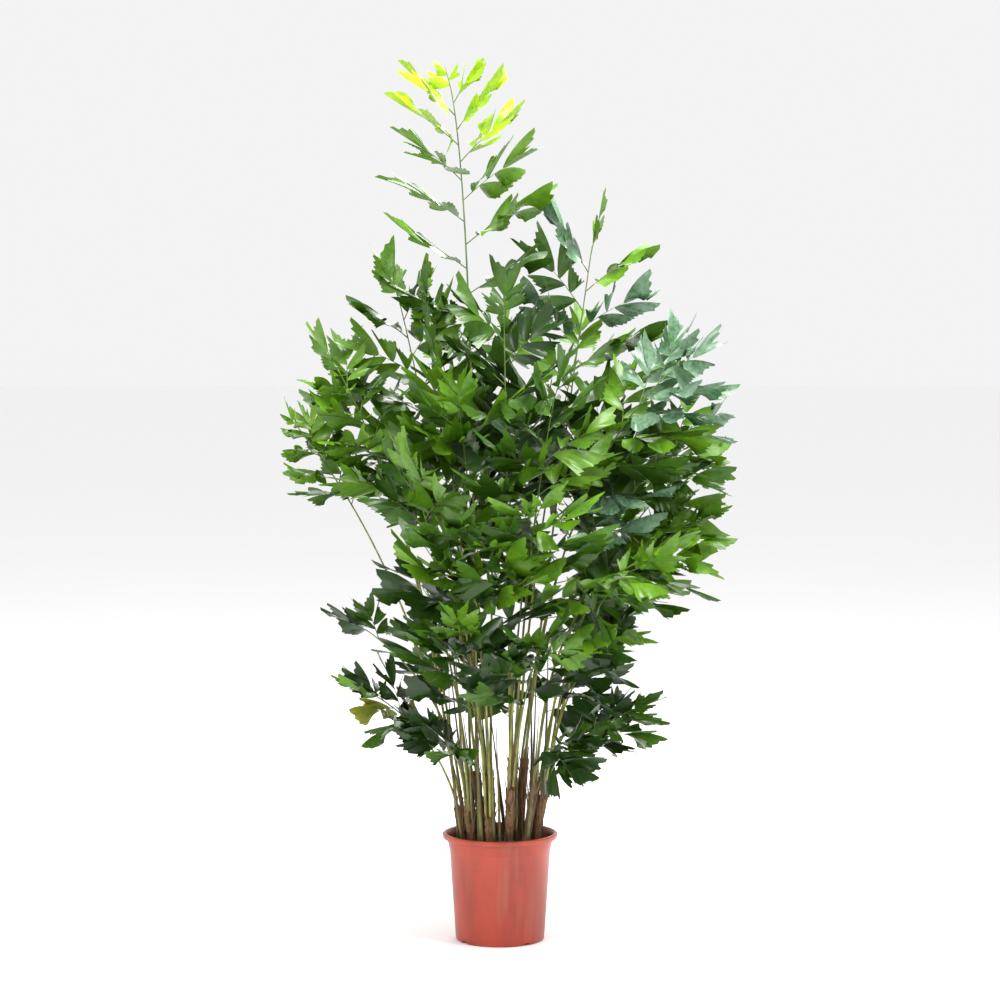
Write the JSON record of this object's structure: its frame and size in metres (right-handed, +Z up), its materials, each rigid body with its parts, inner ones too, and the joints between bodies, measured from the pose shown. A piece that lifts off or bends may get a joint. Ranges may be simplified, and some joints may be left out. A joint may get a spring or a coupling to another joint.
{
  "type": "potted fishtail palm",
  "caption": "Clumping palm in a round plastic nursery pot: sheathed canes carry arching fronds of fishtail leaflets round one tall young frond.",
  "frame": {"origin": "middle of the pot's flat underside, on the floor", "axes": "+Z up, front of the pictured view towards -Y, +X to the right in that view"},
  "size_m": [1.2541, 1.081, 2.4491],
  "materials": {
    "pot_plastic": "satin",
    "potting_soil": "matte",
    "cane_sheath": "matte",
    "leaf": "satin"
  },
  "bodies": {
    "root": {"pot": "pot_plastic", "soil": "potting_soil", "cane_01": "cane_sheath", "cane_02": "cane_sheath", "cane_03": "cane_sheath", "cane_04": "cane_sheath", "cane_05": "cane_sheath", "cane_06": "cane_sheath", "cane_07": "cane_sheath", "cane_08": "cane_sheath", "cane_09": "cane_sheath", "cane_10": "cane_sheath", "cane_11": "cane_sheath", "cane_12": "cane_sheath", "cane_13": "cane_sheath", "cane_14": "cane_sheath", "cane_15": "cane_sheath", "cane_16": "cane_sheath", "cane_17": "cane_sheath", "cane_18": "cane_sheath", "frond_tall": "leaf", "frond_upper_right": "leaf", "frond_upper_left": "leaf", "frond_left_front": "leaf", "frond_centre_front": "leaf", "frond_centre_back": "leaf", "frond_crown_right": "leaf", "frond_back_right": "leaf", "frond_back_left": "leaf", "frond_crown_left": "leaf", "frond_front_right": "leaf", "frond_front_left": "leaf", "frond_far_left": "leaf", "frond_right": "leaf", "frond_right_low": "leaf", "frond_right_front": "leaf", "frond_front": "leaf", "frond_front_lower": "leaf", "frond_left_bend": "leaf", "frond_left_back": "leaf", "frond_back_bend_left": "leaf", "frond_back": "leaf", "frond_back_bend_right": "leaf", "frond_back_mid_right": "leaf", "frond_back_mid_left": "leaf", "frond_right_back": "leaf", "frond_low_right": "leaf", "frond_low_right_tip": "leaf", "frond_low_front_right": "leaf", "frond_low_front_left": "leaf", "frond_low_left": "leaf", "frond_low_left_back": "leaf", "frond_low_back_left": "leaf", "frond_low_back_right": "leaf", "frond_young_right": "leaf", "frond_young_left": "leaf", "frond_young_back": "leaf"}
  },
  "joints": []
}
